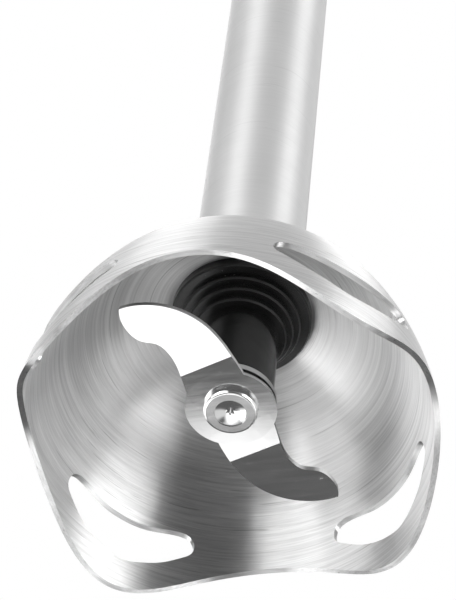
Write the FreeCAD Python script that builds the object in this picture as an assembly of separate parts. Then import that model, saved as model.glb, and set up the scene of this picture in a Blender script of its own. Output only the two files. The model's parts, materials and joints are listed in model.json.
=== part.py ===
"""Corded immersion blender: motor unit, twist-lock foot, bell guard and S-shaped blade.

Millimetres, +Z up, standing on the four lobes of the bell.  The drive axis is the Z axis and the
control buttons face -Y.
"""
import math
import os

import FreeCAD, Part

V = FreeCAD.Vector

# ---------------------------------------------------------------------------------------------
# Driving dimensions
# ---------------------------------------------------------------------------------------------
# Bell guard
sheet = 0.9                # steel sheet thickness of bell and tube
bell_mouth_r = 32.5        # outer radius at the mean height of the rim
bell_height = 37.0         # mean rim height to the neck
lobe_count = 4
lobe_rise = 4.4            # main wave of the rim, half of peak to peak
lobe_sharpness = 0.42      # second wave, flattens the lobes
lobe_first_deg = 45.0
slot_half_deg = 23.0       # half width of each crescent slot, seen from the axis
slot_band = 5.4            # steel left between rim and slot
slot_top = 8.4             # slot's upper edge over the mean rim, at mid slot

# Foot
tube_r = 9.0
tube_length = 146.0        # bell neck to the top of the tube
shaft_r = 2.5
collar_room = 20.0         # tube top to the joint between foot and motor unit

# Blade
blade_reach = 24.25
blade_hub_r = 7.1
blade_thick = 0.8
blade_drop = 6.3           # underside of the hub over the mean rim
blade_tip_deg = 56.7
wing_bend_deg = 4.5
wing_bend_at = 9.0         # bend line to axis
wing_bend_turn = 14.5      # bend normal, ahead of the tip
blade_dish = 0.36          # hollow ground in the underside between the bends

# Motor unit
wall = 2.5                 # moulded wall
motor_r = 22.5             # stator radius
stack_length = 32.0        # stator lamination stack
grip_r = 23.5              # narrowest radius of the handle
board_length = 55.0
button_travel = 1.8
twist_deg = 35.0           # foot turn from locked to free

# Fits
run_gap = 0.04             # shaft in bush, radial
slip_gap = 0.10            # turning or sliding mouldings, per side

# ---------------------------------------------------------------------------------------------
# Heights up the blender
# ---------------------------------------------------------------------------------------------
z_rim = lobe_rise + lobe_sharpness
z_neck = z_rim + bell_height
z_hub = z_rim + blade_drop
z_post = z_hub + blade_thick + 2.0
z_tube_top = z_neck + tube_length
z_joint = z_tube_top + collar_room
z_socket = z_joint + 3.0
socket_height = 14.5
z_ledge = z_socket + socket_height
z_plate = z_ledge + 4.5
z_stack = z_plate + 22.0
z_stack_top = z_stack + stack_length
z_commutator = z_stack_top + 7.0
z_head = z_stack_top + 20.0
z_board = z_head + 7.5
z_board_top = z_board + board_length
z_handle_top = z_board_top + 7.0
cap_height = 14.5
z_cap_top = z_handle_top + cap_height


# ---------------------------------------------------------------------------------------------
# Shape helpers
# ---------------------------------------------------------------------------------------------
def cyl(radius, z0, z1, x=0.0, y=0.0):
    return Part.makeCylinder(radius, z1 - z0, V(x, y, z0))


def ring(outer, inner, z0, z1, x=0.0, y=0.0):
    return cyl(outer, z0, z1, x, y).cut(cyl(inner, z0 - 1, z1 + 1, x, y))


def cyl_y(radius, y0, y1, x, z):
    return Part.makeCylinder(radius, y1 - y0, V(x, y0, z), V(0, 1, 0))


def cyl_x(radius, x0, x1, y, z):
    return Part.makeCylinder(radius, x1 - x0, V(x0, y, z), V(1, 0, 0))


def box(x0, x1, y0, y1, z0, z1):
    return Part.makeBox(x1 - x0, y1 - y0, z1 - z0, V(x0, y0, z0))


def turned(shape, degrees):
    copy = shape.copy()
    copy.rotate(V(0, 0, 0), V(0, 0, 1), degrees)
    return copy


def fuse(shapes):
    return shapes[0].multiFuse(shapes[1:]).removeSplitter()


def cut_all(shape, tools):
    return shape.cut(Part.makeCompound(tools))


def lathe(points):
    """Solid of revolution from a closed polygon of (radius, height)."""
    corners = [V(r, 0, z) for r, z in points]
    face = Part.Face(Part.makePolygon(corners + corners[:1]))
    return face.revolve(V(0, 0, 0), V(0, 0, 1), 360)


def smooth_curve(points):
    curve = Part.BSplineCurve()
    curve.interpolate([V(r, 0, z) for r, z in points])
    return curve


def inset_points(points, depth):
    """The same run of points moved towards the axis side of the curve by depth."""
    curve = smooth_curve(points)
    moved = []
    for r, z in points:
        t = curve.tangent(curve.parameter(V(r, 0, z)))[0]
        moved.append((r - depth * t.z, z + depth * t.x))
    return moved


def smooth_solid(points):
    """Solid of revolution under a smooth outline that runs upwards."""
    low, high = points[0], points[-1]
    edge = smooth_curve(points).toShape()
    loop = [V(high[0], 0, high[1]), V(0, 0, high[1]), V(0, 0, low[1]), V(low[0], 0, low[1])]
    face = Part.Face(Part.Wire([edge] + Part.makePolygon(loop).Edges))
    return face.revolve(V(0, 0, 0), V(0, 0, 1), 360)


def radius_at(curve, z):
    low, high = curve.FirstParameter, curve.LastParameter
    for _ in range(40):
        middle = (low + high) / 2
        if curve.value(middle).z < z:
            low = middle
        else:
            high = middle
    return curve.value(low).x


def arc_block(inner, outer, a0, a1, z0, z1):
    corners = [V(inner, 0, z0), V(outer, 0, z0), V(outer, 0, z1), V(inner, 0, z1)]
    face = Part.Face(Part.makePolygon(corners + corners[:1]))
    return turned(face.revolve(V(0, 0, 0), V(0, 0, 1), a1 - a0), a0)


def pad(width, height, corner, y0, y1, z, x=0.0):
    """Rounded rectangle in the XZ plane, extruded along Y."""
    block = box(x - width / 2, x + width / 2, y0, y1, z - height / 2, z + height / 2)
    upright = [e for e in block.Edges if abs(e.tangentAt(e.FirstParameter).y) > 0.99]
    return block.makeFillet(corner, upright)


def hexagon(corner_r, z0, z1):
    corners = [V(corner_r * math.cos(math.radians(60 * k)), corner_r * math.sin(math.radians(60 * k)),
                 z0) for k in range(6)]
    return Part.Face(Part.makePolygon(corners + corners[:1])).extrude(V(0, 0, z1 - z0))


def ball_for(radius, depth, z):
    """Ball that cuts a dish of a given radius and depth upwards from the height z."""
    ball_r = (radius ** 2 + depth ** 2) / (2 * depth)
    return Part.makeSphere(ball_r, V(0, 0, z + depth - ball_r))


def ring_edges(shape, radius, z):
    """Circular edges of one radius at one height."""
    found = []
    for edge in shape.Edges:
        curve = edge.Curve
        if isinstance(curve, Part.Circle) and abs(curve.Radius - radius) < 0.01 \
                and abs(curve.Center.z - z) < 0.01:
            found.append(edge)
    return found


nodes = {}

# ---------------------------------------------------------------------------------------------
# Bell guard: spun dome with a wavy rim and one crescent slot over each lobe
# ---------------------------------------------------------------------------------------------
bell_shape = [(-0.16, 1.035), (0.0, 1.0), (0.16, 0.957), (0.325, 0.885), (0.486, 0.783),
              (0.62, 0.664), (0.73, 0.489), (0.792, 0.298), (0.835, 0.136), (0.897, 0.038),
              (1.0, 0.0)]
bell_points = [(tube_r + (bell_mouth_r - tube_r) * f, z_rim + bell_height * h)
               for h, f in bell_shape]
bell_inner_points = inset_points(bell_points, sheet)
bell_hollow = smooth_solid(bell_inner_points)
bell = smooth_solid(bell_points).cut(bell_hollow)
bell = bell.cut(cyl(tube_r - sheet, z_neck - 3, z_neck + 3))


def rim_height(rel_deg):
    wave = math.radians(lobe_count * rel_deg)
    return z_rim - lobe_rise * math.cos(wave) - lobe_sharpness * math.cos(2 * wave)


def closed_curve(radius, outline):
    """Closed smooth edge through (angle, height) points on a cylinder."""
    points = [V(radius * math.cos(math.radians(a)), radius * math.sin(math.radians(a)), z)
              for a, z in outline]
    curve = Part.BSplineCurve()
    curve.interpolate(Points=points, PeriodicFlag=True)
    return curve.toShape()


rim_outline = [(a + lobe_first_deg, rim_height(a)) for a in range(0, 360, 5)]
rim_face = Part.makeRuledSurface(closed_curve(bell_mouth_r * 0.78, rim_outline),
                                 closed_curve(bell_mouth_r * 1.2, rim_outline))
bell = bell.cut(rim_face.extrude(V(0, 0, -40)))

slot_right = [(0.0, rim_height(0) + slot_band), (8.0, rim_height(8) + slot_band + 0.1),
              (14.0, rim_height(14) + slot_band - 0.1), (20.0, rim_height(20) + slot_band),
              (22.4, z_rim + slot_top - 2.3), (23.0, z_rim + slot_top - 0.9),
              (21.6, z_rim + slot_top + 0.6), (18.0, z_rim + slot_top + 1.1),
              (9.0, z_rim + slot_top + 0.35)]
slot_outline = slot_right + [(0.0, z_rim + slot_top)] + [(-a, z) for a, z in slot_right[:0:-1]]
slot_outline = [(a * slot_half_deg / 23.0, z) for a, z in slot_outline]
for lobe in range(lobe_count):
    middle = lobe_first_deg + 360.0 / lobe_count * lobe
    outline = [(middle + a, z) for a, z in slot_outline]
    hoops = [Part.Wire(closed_curve(bell_mouth_r * k, outline)) for k in (0.8, 1.15)]
    bell = bell.cut(Part.makeLoft(hoops, True, True))
nodes["bell"] = bell

# ---------------------------------------------------------------------------------------------
# Foot tube and the bearings inside it
# ---------------------------------------------------------------------------------------------
tube_bore = tube_r - sheet
nodes["foot_tube"] = ring(tube_r, tube_bore, z_neck, z_tube_top)

bush_r = 1.8 * shaft_r
bush_bore = shaft_r + run_gap
post_r = 2.52 * shaft_r
post_top = z_neck + 20.0
bush_z0 = z_post + 5.7
bush_z1 = bush_z0 + 14.0
lip_z0 = z_post + 1.0
nodes["bearing_post"] = lathe([
    (bush_r, z_post), (post_r, z_post), (post_r, z_neck + 4), (tube_bore, z_neck + 5),
    (tube_bore, post_top), (bush_r - 1, post_top), (bush_r - 1, bush_z1), (bush_r, bush_z1)])
nodes["lower_bush"] = ring(bush_r, bush_bore, bush_z0, bush_z1)
lip_bore = shaft_r + run_gap / 2
nodes["lip_seal"] = lathe([
    (bush_r, lip_z0), (bush_r, bush_z0), (lip_bore + 0.8, bush_z0), (lip_bore + 0.8, bush_z0 - 0.9),
    (lip_bore, bush_z0 - 1.4), (lip_bore, bush_z0 - 2.0), (lip_bore + 1.2, lip_z0)])
cap_r = post_r + 0.6
nodes["post_cap"] = ring(cap_r, shaft_r + 0.85, z_post - 1.0, z_post).fuse(
    ring(bush_r, shaft_r + 0.85, z_post, lip_z0)).removeSplitter()

# Ridged rubber throat between the post and the dome, trimmed to the inside of the dome
throat_steps = [(1.2, 0.66), (2.2, 0.70), (3.25, 0.74), (4.9, 0.772)]
throat = []
for k, (rise, start) in enumerate(throat_steps):
    stop = throat_steps[k + 1][1] if k + 1 < len(throat_steps) else 0.81
    z0, z1 = z_rim + bell_height * start, z_rim + bell_height * stop
    throat.append(lathe([(post_r, z0), (post_r + rise - 0.25, z0), (post_r + rise, z0 + 0.3),
                         (post_r + rise, z1), (post_r, z1)]))
throat_top = z_rim + bell_height * 0.81
throat.append(ring(post_r + 4.9, post_r, throat_top, z_neck))
nodes["throat_seal"] = fuse(throat).common(bell_hollow)

nodes["shaft_guide"] = ring(tube_bore, shaft_r + slip_gap, z_neck + tube_length * 0.48,
                            z_neck + tube_length * 0.48 + 6)
carrier_z0 = z_tube_top - 15.0
nodes["bush_carrier"] = ring(tube_bore, bush_r, carrier_z0, z_tube_top - 1)
nodes["upper_bush"] = ring(bush_r, bush_bore, carrier_z0, z_tube_top - 1)

# ---------------------------------------------------------------------------------------------
# Drive shaft, blade and the parts that turn with them
# ---------------------------------------------------------------------------------------------
def polar_edge(points):
    curve = Part.BSplineCurve()
    curve.interpolate([V(r * math.cos(math.radians(a)), r * math.sin(math.radians(a)), z_hub)
                       for r, a in points])
    return curve.toShape()


def wing():
    """One wing, tip on +X: a bulging leading edge and a hooked, hollow trailing edge."""
    k = blade_reach / 24.25
    leading = [(24.25 * k, 0), (22.4 * k, 10), (19.8 * k, 19.5), (16.0 * k, 30), (11.5 * k, 41),
               (9.5 * k, 47.5), (7.7 * k, 56), (blade_hub_r - 1.2, 70)]
    trailing = [(24.25 * k, 0), (20.4 * k, -5.2), (18.1 * k, -4.7), (16.1 * k, 0), (14.2 * k, 1),
                (11.2 * k, -2.6), (8.5 * k, -14), (blade_hub_r - 1.2, -40)]
    ends = [V(r * math.cos(math.radians(a)), r * math.sin(math.radians(a)), z_hub)
            for r, a in (leading[-1], trailing[-1])]
    outline = Part.Wire([polar_edge(leading), Part.makeLine(ends[0], ends[1]),
                         polar_edge(trailing)])
    plate = Part.Face(outline).extrude(V(0, 0, blade_thick))
    normal = V(math.cos(math.radians(wing_bend_turn)), math.sin(math.radians(wing_bend_turn)), 0)
    beyond = Part.makeBox(40, 80, 20, V(wing_bend_at, -40, z_hub - 10))
    beyond.rotate(V(0, 0, 0), V(0, 0, 1), wing_bend_turn)
    root, tip = plate.cut(beyond), plate.common(beyond)
    root = root.cut(ball_for(dish_r, blade_dish, z_hub))
    tip.rotate(normal * wing_bend_at + V(0, 0, z_hub), V(-normal.y, normal.x, 0), -wing_bend_deg)
    return root.fuse(tip)


dish_r = wing_bend_at + 1.6
one_wing = wing()
blade_hub = cyl(blade_hub_r, z_hub, z_hub + blade_thick).cut(ball_for(dish_r, blade_dish, z_hub))
blade = fuse([blade_hub, one_wing, turned(one_wing, 180)])
nodes["blade"] = turned(blade.cut(cyl(shaft_r, z_hub - 1, z_hub + 5)), blade_tip_deg)
nodes["blade_spacer"] = ring(shaft_r + 0.6, shaft_r, z_hub + blade_thick, lip_z0 - 0.3)

# The boss and the shaft's peened end reach up into the hub's dish
peen_r = shaft_r + 0.1
boss_r = shaft_r + 1.65
boss_z0 = z_hub - 0.85
peen_z0 = boss_z0 + 0.15
dish_top = z_hub + blade_dish
coupler_z0 = z_tube_top + 1.0
coupler_hub_top = coupler_z0 + 6.0
peen = cyl(peen_r, peen_z0, dish_top).cut(nodes["blade"]).cut(ball_for(peen_r - 0.2, 0.45, peen_z0))
shaft = cyl(shaft_r, peen_z0 + 0.5, coupler_hub_top).fuse(peen).removeSplitter()
nodes["drive_shaft"] = shaft.cut(Part.makeCone(0.8, 0.1, 1.2, V(0, 0, peen_z0 + 0.3)))
blade_boss = ring(boss_r, peen_r, boss_z0, dish_top)
blade_boss = blade_boss.makeFillet(0.45, ring_edges(blade_boss, boss_r, boss_z0))
nodes["blade_boss"] = blade_boss.cut(nodes["blade"])

clip_z = z_tube_top - 0.9
clip = ring(shaft_r + 1.4, shaft_r, clip_z, clip_z + 0.8)
nodes["shaft_clip"] = clip.cut(box(-1.2, 1.2, 0, 10, clip_z - 1, clip_z + 2))

hex_r = 2.2 * shaft_r
hex_gap = slip_gap / math.cos(math.radians(30))
cup_r = hex_r + 3.0
cup_top = coupler_hub_top + 14.0
coupler = lathe([(shaft_r, coupler_z0), (shaft_r + 3.5, coupler_z0), (shaft_r + 3.5, coupler_z0 + 4),
                 (cup_r, coupler_z0 + 6), (cup_r, cup_top - 1), (cup_r - 1, cup_top), (0, cup_top),
                 (0, coupler_hub_top), (shaft_r, coupler_hub_top)])
coupler = coupler.cut(hexagon(hex_r + hex_gap, coupler_hub_top + 1, cup_top + 1))
nodes["coupler_cup"] = coupler

# ---------------------------------------------------------------------------------------------
# Handle outline, needed by everything that sits inside it
# ---------------------------------------------------------------------------------------------
belly_r = motor_r + 4.2 + wall
handle_length = z_handle_top - z_socket
handle_shape = [(0.0, 0.67), (0.10, 0.89), (0.25, 1.0), (0.46, 0.93), (0.58, 0.54), (0.68, 0.14),
                (0.80, 0.0), (0.92, 0.17), (1.0, 0.44)]
handle_points = [(grip_r + (belly_r - grip_r) * f, z_socket + handle_length * h)
                 for h, f in handle_shape]
handle_curve = smooth_curve(handle_points)
base_r = handle_points[0][0]

# ---------------------------------------------------------------------------------------------
# Foot collar: tube seat, coupling well and the three-lug spigot
# ---------------------------------------------------------------------------------------------
spigot_r = base_r - wall - 5.9
spigot_top = z_joint + 15.5
lug_z0, lug_z1 = z_joint + 10.0, z_joint + 13.0
lug_r = spigot_r + 2.0
lug_half = 10.0
lug_angles = (90, 210, 330)
well_r = spigot_r - 2.5
well_z = z_tube_top + 0.6

collar_outer = [(tube_r + 2.4, z_tube_top - 24.0), (tube_r + 4.6, z_tube_top - 14.0),
                (tube_r + 9.4, z_tube_top - 2.0), (base_r - 3.4, z_joint - 9.5),
                (base_r - 0.6, z_joint - 3.5), (base_r, z_joint)]
collar = smooth_solid(collar_outer).fuse(cyl(spigot_r, z_joint - 1, spigot_top))
collar = collar.cut(cyl(tube_r, z_tube_top - 30, z_tube_top))
collar = collar.cut(lathe([(0, z_tube_top - 1), (tube_r - 0.5, z_tube_top - 1), (tube_r - 0.5, well_z),
                           (cup_r + 1.5, coupler_z0 + 4), (cup_r + 1.5, z_joint - 4),
                           (well_r, z_joint), (well_r, spigot_top + 1), (0, spigot_top + 1)]))
seal_z = z_joint + 5.0
collar = collar.cut(ring(spigot_r + 1, spigot_r - 1.9, seal_z - 1.1, seal_z + 1.1))
lug = arc_block(spigot_r - 1, lug_r, -lug_half, lug_half, lug_z0, lug_z1)
collar = fuse([collar] + [turned(lug, a) for a in lug_angles])
flute = cyl(2.2, z_joint - 16, z_joint - 1.6, base_r + 1.0, 0)
collar = cut_all(collar, [turned(flute, a) for a in range(0, 360, 15)])
nodes["foot_collar"] = collar
nodes["spigot_seal"] = Part.makeTorus(spigot_r - 0.95, 0.95, V(0, 0, seal_z))

# ---------------------------------------------------------------------------------------------
# Socket that takes the spigot: three J-shaped channels
# ---------------------------------------------------------------------------------------------
socket_bore = spigot_r + slip_gap
socket_r = spigot_r + 5.1
socket = ring(socket_r, socket_bore, z_socket, z_ledge)
channels = []
for angle in lug_angles:
    level = arc_block(socket_bore - 1, lug_r + slip_gap, angle - lug_half - 0.5,
                      angle + twist_deg + lug_half + 0.5, lug_z0, lug_z1 + 0.2)
    entry = arc_block(socket_bore - 1, lug_r + slip_gap, angle + twist_deg - lug_half - 0.5,
                      angle + twist_deg + lug_half + 0.5, z_socket - 1, lug_z1 + 0.2)
    channels += [level, entry]
nodes["lock_socket"] = cut_all(socket, channels)
trim = ring(base_r + 0.2, lug_r + 0.3, z_joint + slip_gap, z_socket)
nodes["trim_ring"] = trim.makeFillet(0.8, ring_edges(trim, base_r + 0.2, z_joint + slip_gap)
                                     + ring_edges(trim, base_r + 0.2, z_socket))

# ---------------------------------------------------------------------------------------------
# Handle shells, split on the XZ plane
# ---------------------------------------------------------------------------------------------
handle_solid = smooth_solid(handle_points)
inner_points = inset_points(handle_points, wall)
inner_points[0] = (inner_points[0][0], z_socket)
inner_points[-1] = (inner_points[-1][0], z_handle_top)
cap_spigot_r = handle_points[-1][0] - wall + 0.3
shell = handle_solid.cut(smooth_solid(inner_points))
ribs = [ring(60, 0.88 * motor_r, z_ledge, z_plate), ring(60, socket_r, z_socket + 4, z_socket + 6),
        ring(60, radius_at(handle_curve, z_head + 5) - wall - 3, z_head + 4, z_head + 6)]
shell = fuse([shell] + [rib.common(handle_solid) for rib in ribs])
shell = shell.cut(cyl(cap_spigot_r, z_handle_top - 5, z_handle_top + 1))
tie_r = min(0.918 * motor_r, radius_at(handle_curve, z_head) - wall - 2.6)
shell = cut_all(shell, [cyl(2.5, z_head + 3.9, z_head + 7, x, 0) for x in (-tie_r, tie_r)])


def vent(z0, z1, width):
    half = width / 2
    return box(10, 60, -half, half, z0 + half, z1 - half).fuse(
        cyl_x(half, 10, 60, 0, z0 + half)).fuse(cyl_x(half, 10, 60, 0, z1 - half))


vents = []
for z0, z1 in ((z_plate + 4.0, z_plate + 14.0), (z_commutator - 1.0, z_commutator + 10.0)):
    slot = vent(z0, z1, 2.2)
    for side in (0, 180):
        vents += [turned(slot, side + 22.5 + 15 * k) for k in range(10)]
shell = cut_all(shell, vents)

pad_width, pad_height = 18.0, board_length - 9.0
pad_z = z_board + board_length / 2
pad_front, pad_back = -(grip_r + 0.9), -(grip_r - 4.6)
board_y = -0.34 * grip_r
board_thick = 1.6
board_half = 0.5 * grip_r
screw_x = 0.68 * grip_r
screw_heights = (z_board + 3.5, z_board_top - 6.5)
screw_head_y, screw_tip_y = 9.0, -9.0
boss_shell_r = 3.4

front = shell.cut(box(-60, 60, 0, 60, z_socket - 5, z_handle_top + 5))
back = shell.cut(box(-60, 60, -60, 0, z_socket - 5, z_handle_top + 5))
front_bosses, back_bosses, pilot_holes, head_holes, screws = [], [], [], [], []
for x in (-screw_x, screw_x):
    for z in screw_heights:
        front_bosses.append(cyl_y(boss_shell_r, -60, 0, x, z).common(handle_solid))
        back_bosses.append(cyl_y(boss_shell_r, 0, 60, x, z).common(handle_solid))
        pilot_holes.append(cyl_y(1.25, screw_tip_y - 1, 1, x, z))
        head_holes.append(cyl_y(1.45, -1, screw_head_y + 1, x, z).fuse(
            cyl_y(2.7, screw_head_y, 60, x, z)))
        screw = cyl_y(1.25, screw_tip_y, screw_head_y, x, z).fuse(
            cyl_y(2.5, screw_head_y, screw_head_y + 2, x, z)).removeSplitter()
        slot = box(x - 0.4, x + 0.4, screw_head_y + 1, screw_head_y + 3, z - 1.6, z + 1.6)
        cross = box(x - 1.6, x + 1.6, screw_head_y + 1, screw_head_y + 3, z - 0.4, z + 0.4)
        screws.append(cut_all(screw, [slot, cross]))
posts = []
for z in (z_board + 1.0, z_board_top - 3.5):
    for x in (-board_half + 3.5, board_half - 3.5):
        posts.append(box(x - 2, x + 2, -60, board_y, z, z + 2.5).common(handle_solid))
front = fuse([front] + front_bosses + posts)
front = cut_all(front, pilot_holes)
front = front.cut(pad(pad_width, pad_height, 7.0, -60, -grip_r * 0.55, pad_z))
back = cut_all(fuse([back] + back_bosses), head_holes)

# Soft grip inlaid in the back shell
grip_z0, grip_z1 = z_head - 6.0, z_handle_top - 8.0
proud = smooth_solid(inset_points(handle_points, -0.4))
recessed = smooth_solid(inset_points(handle_points, 1.2))
grip = proud.cut(recessed).common(arc_block(0, 60, 60, 120, grip_z0, grip_z1))
back = back.cut(grip)
grooves = []
groove_count = 14
for k in range(groove_count):
    z = grip_z0 + (grip_z1 - grip_z0) * (k + 1) / (groove_count + 1)
    grooves.append(ring(60, radius_at(handle_curve, z) - 0.15, z - 0.6, z + 0.6))
nodes["soft_grip"] = cut_all(grip, grooves)
nodes["handle_front"] = front
nodes["handle_back"] = back
nodes["handle_screws"] = Part.makeCompound(screws)

# ---------------------------------------------------------------------------------------------
# Control pad, buttons and switches
# ---------------------------------------------------------------------------------------------
button_width, button_height = 11.6, (pad_height - 12.0) / 2
button_heights = {"turbo": pad_z - button_height / 2 - 1.5, "standard": pad_z + button_height / 2 + 1.5}
control_pad = pad(pad_width, pad_height, 7.0, pad_front, pad_back, pad_z)
switch_front = board_y - 4.5
switches = []
for name, z in button_heights.items():
    hole = pad(button_width + 2 * slip_gap, button_height + 2 * slip_gap, 4.0 + slip_gap,
               pad_front - 1, pad_back + 1, z)
    control_pad = control_pad.cut(hole)
    key = pad(button_width, button_height, 4.0, pad_front - 2.0, pad_back + slip_gap, z)
    rim = [e for e in key.Edges if abs(e.BoundBox.YMax - (pad_front - 2.0)) < 0.01]
    key = key.makeFillet(0.8, rim)
    flange = pad(button_width + 2.0, button_height + 1.6, 4.0, pad_back + slip_gap,
                 pad_back + slip_gap + 1.2, z)
    stem = cyl_y(2.0, pad_back + slip_gap + 1, switch_front - 2.2, 0, z)
    nodes["button_" + name] = fuse([key, flange, stem])
    nodes["plunger_" + name] = cyl_y(1.4, switch_front - 2.2, switch_front + 0.5, 0, z)
    body = box(-4, 4, switch_front, board_y, z - 4, z + 4)
    switches.append(body.cut(cyl_y(1.4 + slip_gap, switch_front - 1,
                                   switch_front + 0.5 + button_travel + 0.2, 0, z)))
nodes["control_pad"] = control_pad
nodes["microswitches"] = Part.makeCompound(switches)

board_back = board_y + board_thick
board = box(-board_half, board_half, board_y, board_back, z_board, z_board_top)
notches = [cyl_y(boss_shell_r + 0.3, board_y - 1, board_back + 1, x, z)
           for x in (-screw_x, screw_x) for z in screw_heights]
nodes["control_board"] = cut_all(board, notches)
nodes["capacitor"] = pad(12, 9, 1.0, board_back, board_back + 8, z_board + 13)
nodes["terminal_block"] = box(-6, 6, board_back, board_back + 7, z_board_top - 9, z_board_top - 2)

# ---------------------------------------------------------------------------------------------
# Motor
# ---------------------------------------------------------------------------------------------
bearing_r = 3.2 * shaft_r
bearing_z0, bearing_z1 = z_plate - 2.0, z_plate + 3.0
race = (bearing_r - shaft_r) / 3
outer_race = ring(bearing_r, bearing_r - race + 0.3, bearing_z0, bearing_z1)
inner_race = ring(shaft_r + race - 0.3, shaft_r, bearing_z0, bearing_z1)
ball_mid = (bearing_r + shaft_r) / 2
ball_r = race / 2 + 0.28
track = Part.makeTorus(ball_mid, ball_r + 0.03, V(0, 0, (bearing_z0 + bearing_z1) / 2))
nodes["bearing_outer"] = outer_race.cut(track)
nodes["bearing_inner"] = inner_race.cut(
    Part.makeTorus(ball_mid, ball_r, V(0, 0, (bearing_z0 + bearing_z1) / 2)))
cage = ring(ball_mid + 0.5, ball_mid - 0.5, bearing_z0 + 1.2, bearing_z1 - 1.2)
balls = [Part.makeSphere(ball_r, V(ball_mid * math.cos(math.radians(a)),
                                   ball_mid * math.sin(math.radians(a)),
                                   (bearing_z0 + bearing_z1) / 2)) for a in range(0, 360, 45)]
nodes["bearing_balls"] = fuse([cage] + balls)

plate_r = radius_at(handle_curve, z_plate) - wall - 1.5
nodes["lower_bracket"] = lathe([
    (bearing_r - 1.2, z_plate - 2.5), (bearing_r + 3, z_plate - 2.5), (bearing_r + 3, z_plate),
    (plate_r, z_plate), (plate_r, z_plate + 3), (bearing_r, z_plate + 3), (bearing_r, bearing_z0),
    (bearing_r - 1.2, bearing_z0)])
nodes["splash_seal"] = lathe([
    (shaft_r + run_gap, z_plate - 4.0), (bearing_r + 1, z_plate - 3.2), (bearing_r + 1, z_plate - 2.5),
    (shaft_r + 1, z_plate - 2.5), (shaft_r + run_gap, z_plate - 3.5)])

stator = ring(motor_r, 0.56 * motor_r, z_stack, z_stack_top)
slot_in, slot_out = 0.66 * motor_r, 0.835 * motor_r
slots, coils = [], []
for pole in (90, 270):
    for a0, a1 in ((-54, -32), (32, 54)):
        slots.append(arc_block(slot_in - 0.2, slot_out + 0.2, pole + a0 - 0.5, pole + a1 + 0.5,
                               z_stack - 1, z_stack_top + 1))
    loop = arc_block(slot_in, slot_out, pole - 54, pole + 54, z_stack - 5.5, z_stack_top + 5.5)
    coils.append(loop.cut(arc_block(slot_in - 1, slot_out + 1, pole - 32, pole + 32,
                                    z_stack, z_stack_top)))
for side in (0, 180):
    slots.append(arc_block(0.5 * motor_r, slot_in + 1, side - 12, side + 12, z_stack - 1,
                           z_stack_top + 1))
for x in (-tie_r, tie_r):
    slots.append(cyl(1.3, z_stack - 1, z_stack_top + 1, x, 0))
nodes["stator_core"] = cut_all(stator, slots)
nodes["field_coils"] = Part.makeCompound(coils)

rotor_r = 0.56 * motor_r - 0.5
tooth_count = 12
wire_r, wire_at = 0.066 * motor_r, 0.425 * motor_r
core = ring(rotor_r, shaft_r, z_stack, z_stack_top)
wires, mouths = [], []
for k in range(tooth_count):
    a = 360.0 / tooth_count * (k + 0.5)
    wires.append(turned(cyl(wire_r, z_stack, z_stack_top, wire_at, 0), a))
    mouths.append(turned(box(wire_at, rotor_r + 1, -0.4, 0.4, z_stack, z_stack_top), a))
nodes["rotor_core"] = cut_all(core, wires + mouths)
bundle = []
wound = wire_at + wire_r + 0.3
for z0, z1 in ((z_stack - 5.0, z_stack), (z_stack_top, z_stack_top + 5.0)):
    dome = ring(wound, shaft_r + 1.0, z0, z1)
    outer_z = z0 if z0 < z_stack else z1
    bundle.append(dome.makeFillet(2.0, ring_edges(dome, wound, outer_z)))
nodes["rotor_windings"] = fuse(bundle + wires)
nodes["insulating_sleeve"] = ring(shaft_r + 1.0, shaft_r, z_stack - 6.0, z_stack).fuse(
    ring(shaft_r + 1.0, shaft_r, z_stack_top, z_commutator))

commutator_r = 2.6 * shaft_r
commutator = ring(commutator_r, shaft_r, z_commutator, z_commutator + 10)
gaps = [turned(box(commutator_r - 1.2, commutator_r + 1, -0.2, 0.2, z_commutator + 1.2,
                   z_commutator + 11), 360.0 / tooth_count * k) for k in range(tooth_count)]
nodes["commutator"] = cut_all(commutator, gaps)

motor_shaft_z0 = coupler_hub_top + 5.0
nodes["motor_shaft"] = cyl(shaft_r, motor_shaft_z0, z_head + 5.5)
drive = hexagon(hex_r, coupler_hub_top + 2, cup_top - 3)
drive = fuse([drive, cyl(cup_r - 1, cup_top + 1, cup_top + 5), cyl(hex_r * 0.86, cup_top - 4, cup_top + 2)])
nodes["drive_dog"] = drive.cut(cyl(shaft_r, motor_shaft_z0, cup_top + 9))

fan_r = tie_r - 3.6
fan_z0 = z_plate + 4.5
hub = ring(shaft_r + 2.5, shaft_r, fan_z0, fan_z0 + 8.5)
disc = ring(fan_r, shaft_r + 1, fan_z0, fan_z0 + 1.2)
vane = box(shaft_r + 2, fan_r, -0.5, 0.5, fan_z0 + 0.5, fan_z0 + 8)
vane.rotate(V(shaft_r + 2, 0, 0), V(0, 0, 1), 18)
vane = vane.common(cyl(fan_r, fan_z0, fan_z0 + 9))
nodes["fan"] = fuse([hub, disc] + [turned(vane, 40 * k) for k in range(9)])

# Upper bracket with the two brush boxes
head_r = radius_at(handle_curve, z_head + 4) - wall - 0.6
brush_z = z_commutator + 5.0
brush_end = tie_r - 2.8
brush_in = commutator_r + 2.5
head = [cyl(head_r, z_head, z_head + 4), cyl(8.5, z_head, z_head + 6.5)]
for side in (-1, 1):
    x0, x1 = sorted((side * brush_in, side * (brush_end - 1.5)))
    head.append(box(x0 + 0.5, x1 - 0.5, -5.5, 5.5, brush_z - 4.8, z_head + 1))
head = fuse(head)
tunnel = box(-60, 60, -3.4, 3.4, brush_z - 3.2, brush_z + 3.2)
head = head.cut(tunnel).cut(cyl(6.0, z_head - 1, z_head + 5.5)).cut(cyl(shaft_r + 1, z_head, z_head + 9))
head = cut_all(head, [cyl(1.3, z_head - 1, z_head + 5, x, 0) for x in (-tie_r, tie_r)])
nodes["upper_bracket"] = head
nodes["motor_bush"] = ring(6.0, bush_bore, z_head, z_head + 5.5)


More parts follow.
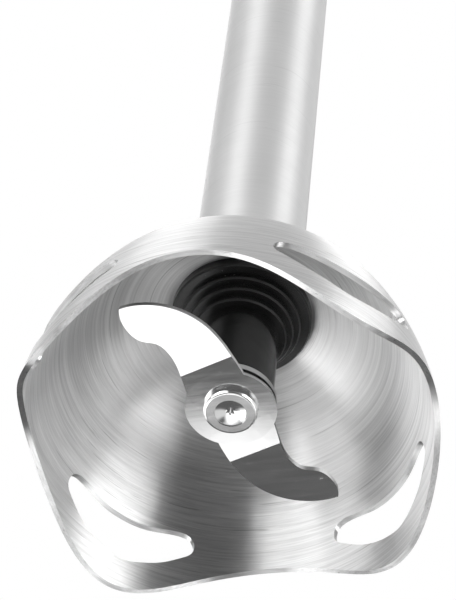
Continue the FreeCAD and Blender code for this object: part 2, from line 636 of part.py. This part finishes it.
def brush_side(side):
    """Holder, carbon brush and coil spring on one side of the commutator."""
    def span(x0, x1, half_y, half_z):
        low, high = sorted((side * x0, side * x1))
        return box(low, high, -half_y, half_y, brush_z - half_z, brush_z + half_z)
    holder = span(brush_in, brush_end, 3.4, 3.2).cut(span(brush_in - 1, brush_end - 0.8, 2.6, 2.4))
    spring_x = brush_in + (brush_end - brush_in) * 0.52
    brush = span(commutator_r - 1, spring_x, 2.6, 2.4).cut(
        cyl(commutator_r + 0.05, z_commutator - 1, z_commutator + 12))
    length = brush_end - 0.8 - spring_x
    turns = 5.0
    path = Part.makeHelix((length - 0.5) / turns, length - 0.5, 1.7)
    profile = Part.Wire(Part.makeCircle(0.25, V(1.7, 0, 0), V(0, 1, 0.1)))
    spring = Part.Wire(path.Edges).makePipeShell([profile], True, True)
    spring.rotate(V(0, 0, 0), V(0, 1, 0), 90)
    spring.translate(V(spring_x + 0.25, 0, brush_z))
    if side < 0:
        spring.rotate(V(0, 0, 0), V(0, 0, 1), 180)
    return holder, brush, spring


brush_sets = zip(brush_side(-1), brush_side(1))
for name, pair in zip(("brush_holders", "brushes", "brush_springs"), brush_sets):
    nodes[name] = Part.makeCompound(list(pair))

tie_parts = []
spacers = []
for x in (-tie_r, tie_r):
    bolt = cyl(1.25, z_plate + 3, z_head + 4, x, 0).fuse(cyl(2.3, z_head + 4, z_head + 5.8, x, 0))
    tie_parts.append(bolt.removeSplitter())
    spacers += [ring(2.3, 1.25, z_plate + 3, z_stack, x, 0), ring(2.3, 1.25, z_stack_top, z_head, x, 0)]
nodes["motor_screws"] = Part.makeCompound(tie_parts)
nodes["motor_spacers"] = Part.makeCompound(spacers)

# ---------------------------------------------------------------------------------------------
# Top cap, speed dial and cord entry
# ---------------------------------------------------------------------------------------------
top_r = handle_points[-1][0]
dial_y, gland_y = -0.34 * top_r, 0.40 * top_r
cap_under = z_cap_top - 2.7
cap = cyl(top_r, z_handle_top, z_cap_top)
cap = cap.makeFillet(8.0, ring_edges(cap, top_r, z_cap_top))
hollow = cyl(top_r - wall, z_handle_top - 1, cap_under)
cap = cap.cut(hollow.makeFillet(6.0, ring_edges(hollow, top_r - wall, cap_under)))
cap = cap.fuse(ring(cap_spigot_r, cap_spigot_r - 2.0, z_handle_top - 5, z_handle_top + 1))
cap = cap.fuse(ring(top_r - 1, cap_spigot_r - 2.0, z_handle_top, z_handle_top + 1.5)).removeSplitter()
cap = cap.cut(cyl(3.5, cap_under - 1, z_cap_top + 1, 0, dial_y))
nodes["top_cap"] = cap.cut(cyl(5.2, cap_under - 1, z_cap_top + 1, 0, gland_y))

gland_bore = 3.3
gland = [ring(5.2, gland_bore, cap_under, z_cap_top, 0, gland_y),
         ring(6.4, gland_bore, cap_under - 2, cap_under, 0, gland_y),
         ring(6.4, gland_bore, z_cap_top, z_cap_top + 3.5, 0, gland_y)]
nodes["cord_gland"] = fuse(gland)

pot_z0 = cap_under - 8.0
pot = cyl(0.3 * top_r, pot_z0, cap_under, 0, dial_y).fuse(cyl(3.5, pot_z0, z_cap_top, 0, dial_y))
nodes["potentiometer"] = pot.removeSplitter().cut(
    cyl(shaft_r + 0.05, pot_z0 + 2, z_cap_top + 1, 0, dial_y))
dial_r, dial_z0, dial_top = 0.42 * top_r, z_cap_top + 0.5, z_cap_top + 9.5
nodes["dial_spindle"] = cyl(shaft_r, pot_z0 + 2.2, dial_top - 3, 0, dial_y)
dial = cyl(dial_r, dial_z0, dial_top)
dial = dial.makeFillet(1.2, ring_edges(dial, dial_r, dial_top))
dial = cut_all(dial, [turned(cyl(0.9, dial_z0 + 1, dial_top + 1, dial_r + 0.4, 0), 15 * k)
                      for k in range(24)])
dial = dial.cut(cyl(shaft_r, dial_z0 - 1, dial_top - 3))
mark = box(-0.8, 0.8, -dial_r + 2.0, -dial_r + 6.0, dial_top - 0.8, dial_top)
dial, mark = dial.cut(mark), mark.copy()
for shape in (dial, mark):
    shape.translate(V(0, dial_y, 0))
nodes["speed_dial"] = dial
nodes["dial_mark"] = mark

# ---------------------------------------------------------------------------------------------
# One STEP file per node
# ---------------------------------------------------------------------------------------------
os.makedirs("parts", exist_ok=True)
for name, shape in nodes.items():
    shape.exportStep("parts/%s.step" % name)
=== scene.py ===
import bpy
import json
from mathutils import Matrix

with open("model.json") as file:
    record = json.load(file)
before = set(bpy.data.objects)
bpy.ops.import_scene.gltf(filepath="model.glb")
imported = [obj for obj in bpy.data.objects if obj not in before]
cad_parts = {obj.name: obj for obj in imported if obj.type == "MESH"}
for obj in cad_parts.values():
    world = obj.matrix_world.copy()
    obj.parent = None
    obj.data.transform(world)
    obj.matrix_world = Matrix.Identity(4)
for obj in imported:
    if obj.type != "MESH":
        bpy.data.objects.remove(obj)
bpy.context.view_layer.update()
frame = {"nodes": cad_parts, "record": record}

import json
import math

import bpy
from mathutils import Matrix, Vector

scene = bpy.context.scene
scene.view_settings.view_transform = "Standard"


# ------------------------------------------------------------------------------------------
# Node helpers
# ------------------------------------------------------------------------------------------
class Nodes:
    """A small wrapper that makes and links the nodes of one tree."""

    def __init__(self, tree):
        self.tree = tree

    def add(self, kind, inputs=None, **settings):
        node = self.tree.nodes.new(kind)
        for key, value in settings.items():
            setattr(node, key, value)
        for key, value in (inputs or {}).items():
            self.put(node.inputs[key], value)
        return node

    def put(self, socket, value):
        if isinstance(value, bpy.types.NodeSocket):
            self.tree.links.new(value, socket)
        else:
            socket.default_value = value

    def math(self, operation, a, b=0.0):
        node = self.add("ShaderNodeMath", operation=operation)
        self.put(node.inputs[0], a)
        self.put(node.inputs[1], b)
        return node.outputs[0]

    def remap(self, value, lo, hi, to_lo, to_hi):
        node = self.add("ShaderNodeMapRange", {"Value": value, "From Min": lo, "From Max": hi,
                                               "To Min": to_lo, "To Max": to_hi})
        return node.outputs["Result"]

    def noise(self, vector, scale, detail=3.0, rough=0.55):
        node = self.add("ShaderNodeTexNoise", {"Vector": vector, "Scale": scale, "Detail": detail,
                                               "Roughness": rough})
        return node.outputs["Fac"]

    def mix(self, factor, a, b):
        node = self.add("ShaderNodeMix", data_type="RGBA")
        self.put(node.inputs["Factor"], factor)
        self.put(node.inputs[6], a)
        self.put(node.inputs[7], b)
        return node.outputs[2]

    def bump(self, height, strength, distance):
        node = self.add("ShaderNodeBump", {"Height": height, "Strength": strength,
                                           "Distance": distance})
        return node.outputs["Normal"]


def fresh_nodes(owner):
    """An empty node tree for a material or a world."""
    owner.use_nodes = True
    owner.node_tree.nodes.clear()
    return Nodes(owner.node_tree)


def material(name, build, **fixed):
    """A material whose Principled shader gets constants from fixed and links from build."""
    mat = bpy.data.materials.new(name)
    nodes = fresh_nodes(mat)
    shader = nodes.add("ShaderNodeBsdfPrincipled", fixed)
    nodes.add("ShaderNodeOutputMaterial", {0: shader.outputs[0]})
    place = nodes.add("ShaderNodeTexCoord").outputs["Object"]
    for key, value in build(nodes, place).items():
        nodes.put(shader.inputs[key], value)
    return mat


def grey(value, warm=0.0):
    return (value * (1 + warm), value, value * (1 - warm), 1.0)


# ------------------------------------------------------------------------------------------
# Finishes: each function returns a builder of linked inputs and the shader's constants
# ------------------------------------------------------------------------------------------
across_brushing = 26.0     # how much faster the pattern changes across the marks than along them
slow_share_of_y = 0.6      # y's share beside x in the slow coordinate


def turned_coordinates(n, place):
    """A vector for marks that run round the drive axis: fast across them, slow along them."""
    x, y, z = n.add("ShaderNodeSeparateXYZ", {0: place}).outputs
    radius = n.math("SQRT", n.math("ADD", n.math("MULTIPLY", x, x), n.math("MULTIPLY", y, y)))
    turned = n.add("ShaderNodeCombineXYZ", {0: n.math("MULTIPLY", radius, across_brushing),
                                            1: n.math("MULTIPLY", z, across_brushing),
                                            2: n.math("ADD", x, n.math("MULTIPLY", y, slow_share_of_y))})
    return turned.outputs[0]


def brushed_round(tone, rough, aniso, contrast=1.0):
    """Sheet steel brushed or spun round the drive axis."""
    def build(n, place):
        turned = turned_coordinates(n, place)
        lines = n.noise(turned, scale=120.0, detail=4.0, rough=0.7)
        coarse = n.noise(turned, scale=62.0, detail=3.0, rough=0.65)
        scratch = n.remap(n.noise(turned, scale=84.0, detail=2.0, rough=0.5), 0.66, 0.72, 0.0, 1.0)
        cloud = n.noise(place, scale=55.0, detail=4.0)
        smear = n.noise(place, scale=14.0, detail=3.0, rough=0.6)
        streak = n.math("ADD", n.math("MULTIPLY", lines, 0.55), n.math("MULTIPLY", coarse, 0.45))
        colour = n.mix(n.remap(streak, 0.36, 0.64, 0.0, 1.0), grey(tone * (1 - 0.20 * contrast)),
                       grey(min(tone * (1 + 0.10 * contrast), 1.0)))
        colour = n.mix(n.math("MULTIPLY", n.remap(cloud, 0.45, 0.75, 0.0, 1.0), 0.10), colour,
                       grey(tone * 0.72, 0.01))
        colour = n.mix(n.math("MULTIPLY", scratch, 0.45 * contrast), colour, grey(tone * 0.35))
        rough_value = n.math("ADD", n.remap(streak, 0.3, 0.7, rough - 0.06, rough + 0.06),
                             n.math("MULTIPLY", n.remap(smear, 0.4, 0.7, 0.0, 1.0), 0.04))
        height = n.math("ADD", lines, n.math("MULTIPLY", coarse, 0.5))
        tangent = n.add("ShaderNodeTangent", direction_type="RADIAL", axis="Z").outputs[0]
        return {"Base Color": colour, "Roughness": rough_value, "Tangent": tangent,
                "Normal": n.bump(height, 0.12, 0.00003)}
    quarter_turn = 0.25
    return build, {"Metallic": 1.0, "Anisotropic": aniso, "Anisotropic Rotation": quarter_turn}


noise_turn = math.radians(-56.7)     # turns the noise that the marks are drawn from, not the marks


def ground_flat(tone, rough):
    """Ground and polished steel with short straight grinding marks along X."""
    def build(n, place):
        stretch = n.add("ShaderNodeMapping", {"Vector": place, "Scale": (60.0, 900.0, 900.0),
                                              "Rotation": (0.0, 0.0, noise_turn)})
        lines = n.noise(stretch.outputs[0], scale=1.0, detail=4.0, rough=0.7)
        cloud = n.noise(place, scale=160.0, detail=3.0)
        scuff = n.remap(n.noise(place, scale=420.0, detail=5.0, rough=0.7), 0.62, 0.72, 0.0, 1.0)
        colour = n.mix(n.remap(lines, 0.3, 0.7, 0.0, 1.0), grey(tone * 0.95), grey(tone * 1.03))
        rough_value = n.math("ADD", n.remap(lines, 0.25, 0.75, rough - 0.03, rough + 0.05),
                             n.math("ADD", n.math("MULTIPLY", cloud, 0.04),
                                    n.math("MULTIPLY", scuff, 0.12)))
        return {"Base Color": colour, "Roughness": rough_value,
                "Normal": n.bump(lines, 0.08, 0.00002)}
    return build, {"Metallic": 1.0, "Anisotropic": 0.3}


wear = 0.35     # how worn the patches are where a moulding is handled


def moulding(tone, rough, grain_scale, grain_depth, sheen=0.0, tint=0.0):
    """Moulded plastic or rubber: fine spark texture, faint cloudiness, patches worn smoother."""
    def build(n, place):
        grain = n.noise(place, scale=grain_scale, detail=3.0, rough=0.6)
        cloud = n.noise(place, scale=60.0, detail=4.0)
        handled = n.remap(n.noise(place, scale=18.0, detail=4.0, rough=0.65), 0.42, 0.68, 0.0, 1.0)
        worn = n.math("MULTIPLY", handled, wear)
        colour = n.mix(n.remap(cloud, 0.35, 0.7, 0.0, 1.0), grey(tone * 0.88, tint),
                       grey(tone * 1.12, tint))
        rough_value = n.math("SUBTRACT", n.remap(grain, 0.3, 0.7, rough - 0.04, rough + 0.06),
                             n.math("MULTIPLY", worn, 0.16))
        return {"Base Color": colour, "Roughness": rough_value,
                "Normal": n.bump(grain, grain_depth, 0.00012)}
    return build, {"Metallic": 0.0, "IOR": 1.49, "Sheen Weight": sheen, "Sheen Roughness": 0.4}


def metal(colour, rough, scale=300.0, stain=0.2, metallic=1.0):
    """Metal of one colour with grain and stains, or with metallic 0 a varnished laminate."""
    def build(n, place):
        grain = n.noise(place, scale=scale, detail=4.0, rough=0.65)
        cloud = n.remap(n.noise(place, scale=70.0, detail=4.0), 0.4, 0.7, 0.0, 1.0)
        dark = tuple(c * 0.62 for c in colour) + (1.0,)
        tone = n.mix(n.math("MULTIPLY", cloud, stain), tuple(colour) + (1.0,), dark)
        return {"Base Color": tone, "Roughness": n.remap(grain, 0.3, 0.7, rough - 0.06, rough + 0.08),
                "Normal": n.bump(grain, 0.15, 0.00005)}
    return build, {"Metallic": metallic}


def make(name, recipe):
    build, fixed = recipe
    return material(name, build, **fixed)


finishes = {
    "steel_brushed": make("steel_brushed", brushed_round(0.71, 0.38, 1.0, contrast=1.15)),
    "steel_ground": make("steel_ground", ground_flat(0.78, 0.11)),
    "steel_bright": make("steel_bright", metal((0.70, 0.70, 0.71), 0.22, 500.0)),
    "trim_metal": make("trim_metal", brushed_round(0.74, 0.16, 0.6)),
    "black_gloss": make("black_gloss", moulding(0.010, 0.12, 900.0, 0.03)),
    "black_rubber": make("black_rubber", moulding(0.013, 0.22, 1500.0, 0.06)),
    "handle_plastic": make("handle_plastic", moulding(0.035, 0.42, 2600.0, 0.35)),
    "collar_plastic": make("collar_plastic", moulding(0.040, 0.40, 2600.0, 0.30)),
    "grip_rubber": make("grip_rubber", moulding(0.022, 0.62, 3200.0, 0.40, sheen=0.15)),
    "grey_plastic": make("grey_plastic", moulding(0.22, 0.38, 2400.0, 0.22)),
    "nylon": make("nylon", moulding(0.62, 0.45, 900.0, 0.10, tint=0.05)),
    "board": make("board", metal((0.03, 0.16, 0.06), 0.35, 900.0, stain=0.3, metallic=0.0)),
    "copper": make("copper", metal((0.72, 0.30, 0.15), 0.30, 700.0)),
    "bronze": make("bronze", metal((0.50, 0.34, 0.17), 0.42, 1200.0)),
    "brass": make("brass", metal((0.72, 0.55, 0.26), 0.28, 600.0)),
    "core_iron": make("core_iron", metal((0.22, 0.23, 0.25), 0.48, 800.0)),
    "die_cast": make("die_cast", metal((0.55, 0.56, 0.58), 0.46, 900.0)),
    "carbon": make("carbon", moulding(0.02, 0.6, 1800.0, 0.3)),
    "white_mark": make("white_mark", moulding(0.8, 0.4, 900.0, 0.05)),
}
# The drawn tube is the bell's steel with a duller surface and fainter marks
own_finishes = {"foot_tube": make("steel_tube", brushed_round(0.70, 0.46, 0.85, contrast=0.25))}
for entry in frame["record"]["subparts"]:
    node = frame["nodes"][entry["node"]]
    node.data.materials.clear()
    node.data.materials.append(own_finishes.get(entry["node"], finishes[entry["material_slot"]]))

# ------------------------------------------------------------------------------------------
# Floor: pale, seen from above only, so that a camera below it looks up into the bell
# ------------------------------------------------------------------------------------------
floor_size, floor_drop, floor_tone = 12.0, 0.0002, 0.86     # metres, metres, share of light

bpy.ops.mesh.primitive_plane_add(size=floor_size, location=(0, 0, -floor_drop))
floor = bpy.context.object
floor.name = "floor"
floor_mat = bpy.data.materials.new("floor")
fn = fresh_nodes(floor_mat)
pale = fn.add("ShaderNodeBsdfDiffuse", {"Color": grey(floor_tone)})
clear = fn.add("ShaderNodeBsdfTransparent")
by_camera = fn.add("ShaderNodeLightPath").outputs["Is Camera Ray"]
under = fn.add("ShaderNodeNewGeometry").outputs["Backfacing"]
seen = fn.math("MULTIPLY", by_camera, fn.math("SUBTRACT", 1.0, under))
mixed = fn.add("ShaderNodeMixShader", {0: seen, 1: clear.outputs[0], 2: pale.outputs[0]})
fn.add("ShaderNodeOutputMaterial", {0: mixed.outputs[0]})
floor.data.materials.append(floor_mat)

# ------------------------------------------------------------------------------------------
# Light: a dim room with large soft cards round the object and a gap where the camera stands
# ------------------------------------------------------------------------------------------
room_light = 0.12
backdrop = 1.0           # what the camera sees behind the object

scene.world = bpy.data.worlds.new("studio")
wn = fresh_nodes(scene.world)
direction = wn.add("ShaderNodeVectorMath", {0: wn.add("ShaderNodeTexCoord").outputs["Generated"]},
                   operation="NORMALIZE").outputs["Vector"]


def card(azimuth, elevation, core, edge, strength):
    """Light from a round card: full inside the core angle, none past the edge angle, in degrees."""
    a, e = math.radians(azimuth), math.radians(elevation)
    centre = (math.cos(a) * math.cos(e), math.sin(a) * math.cos(e), math.sin(e))
    facing = wn.add("ShaderNodeVectorMath", {0: direction, 1: centre}, operation="DOT_PRODUCT")
    disc = wn.add("ShaderNodeMapRange", {"Value": facing.outputs["Value"],
                                         "From Min": math.cos(math.radians(edge)),
                                         "From Max": math.cos(math.radians(core)),
                                         "To Max": strength}, interpolation_type="SMOOTHSTEP")
    return disc.outputs["Result"]


cards = [
    card(-20, -22, 14, 21, 7.2),      # key, right of the camera
    card(-112, -22, 13, 20, 6.0),     # key, left of the camera
    card(-140, -24, 13, 22, 3.6),     # beside the left key
    card(158, -34, 18, 30, 2.8),      # fill, behind the bell on the left
    card(25, -28, 16, 28, 1.6),       # fill, on the right
    card(66, -50, 10, 18, 0.7),       # low fill, behind the bell on the right
    card(116, -67, 12, 19, 1.5),      # below and behind, mirrored by one wing of the blade
    card(-60, -82, 12, 22, 0.8),      # straight below
    card(-70, 50, 28, 52, 0.95),      # overhead, above the camera
    card(150, 55, 25, 48, 0.8),       # overhead, behind on the left
    card(40, 40, 20, 42, 0.7),        # overhead, behind on the right
]
light = room_light
for lamp in cards:
    light = wn.math("ADD", lamp, light)
white = grey(1.0)
sees_white = wn.add("ShaderNodeBackground", {"Color": white, "Strength": backdrop})
lights_up = wn.add("ShaderNodeBackground", {"Color": white, "Strength": light})
by_camera = wn.add("ShaderNodeLightPath").outputs["Is Camera Ray"]
both = wn.add("ShaderNodeMixShader", {0: by_camera, 1: lights_up.outputs[0],
                                      2: sees_white.outputs[0]})
wn.add("ShaderNodeOutputWorld", {0: both.outputs[0]})

# ------------------------------------------------------------------------------------------
# Camera: below the bell and in front of it, with a long lens
# ------------------------------------------------------------------------------------------
view_side = math.radians(15.9)          # towards +X from the buttons' side
view_from_axis = 0.69968                # radians between the drive axis and the line of sight
view_distance, aim_height = 0.39222, 0.00482     # metres; the aim is the middle of the bell's rim
yaw, pitch, roll = 0.00603, 0.05206, -0.1188     # radians
focal_length, sensor_width = 156.0, 36.0         # millimetres

away = Matrix.Rotation(view_side, 3, "Z") @ Vector((0, -math.sin(view_from_axis),
                                                     -math.cos(view_from_axis)))
forward = -away
right = forward.cross(Vector((0, 0, 1))).normalized()
up = right.cross(forward)
turn = Matrix.Rotation(yaw, 3, up)
forward, right = turn @ forward, turn @ right
turn = Matrix.Rotation(pitch, 3, right)
forward, up = turn @ forward, turn @ up
turn = Matrix.Rotation(roll, 3, forward)
right, up = turn @ right, turn @ up
camera_data = bpy.data.cameras.new("camera")
camera_data.lens, camera_data.sensor_width = focal_length, sensor_width
camera_data.clip_start, camera_data.clip_end = 0.02, 20.0
camera = bpy.data.objects.new("camera", camera_data)
scene.collection.objects.link(camera)
camera.matrix_world = (Matrix.Translation(away * view_distance + Vector((0, 0, aim_height)))
                       @ Matrix((right, up, -forward)).transposed().to_4x4())
scene.camera = camera
